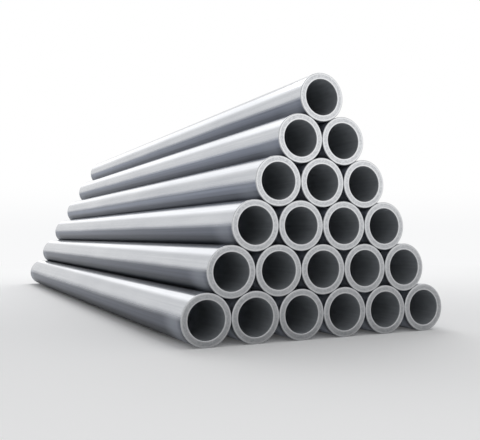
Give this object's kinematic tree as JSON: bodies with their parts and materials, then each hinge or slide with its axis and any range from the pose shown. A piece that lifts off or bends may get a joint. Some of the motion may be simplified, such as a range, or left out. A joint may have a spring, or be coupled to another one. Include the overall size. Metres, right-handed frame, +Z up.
{
  "type": "bundle of steel pipes",
  "caption": "Free-standing pyramid of equal thick-walled round steel pipes lying parallel, with square-cut open ends flush in one plane.",
  "frame": {"origin": "on the floor at mid length, under the middle of the bottom row", "axes": "+Y along the pipes from the mouths seen in the picture to the far mouths, +X to the right facing those mouths, +Z up"},
  "size_m": [0.9556, 3, 0.8484],
  "materials": {
    "pipe_steel": "smooth bright drawn skin with fine lengthwise lines, cut grey ring faces, dull dark bores"
  },
  "bodies": {
    "root": {"pipe_row1_1": "pipe_steel", "pipe_row1_2": "pipe_steel", "pipe_row1_3": "pipe_steel", "pipe_row1_4": "pipe_steel", "pipe_row1_5": "pipe_steel", "pipe_row1_6": "pipe_steel", "pipe_row2_1": "pipe_steel", "pipe_row2_2": "pipe_steel", "pipe_row2_3": "pipe_steel", "pipe_row2_4": "pipe_steel", "pipe_row2_5": "pipe_steel", "pipe_row3_1": "pipe_steel", "pipe_row3_2": "pipe_steel", "pipe_row3_3": "pipe_steel", "pipe_row3_4": "pipe_steel", "pipe_row4_1": "pipe_steel", "pipe_row4_2": "pipe_steel", "pipe_row4_3": "pipe_steel", "pipe_row5_1": "pipe_steel", "pipe_row5_2": "pipe_steel", "pipe_row6_1": "pipe_steel"}
  },
  "joints": []
}
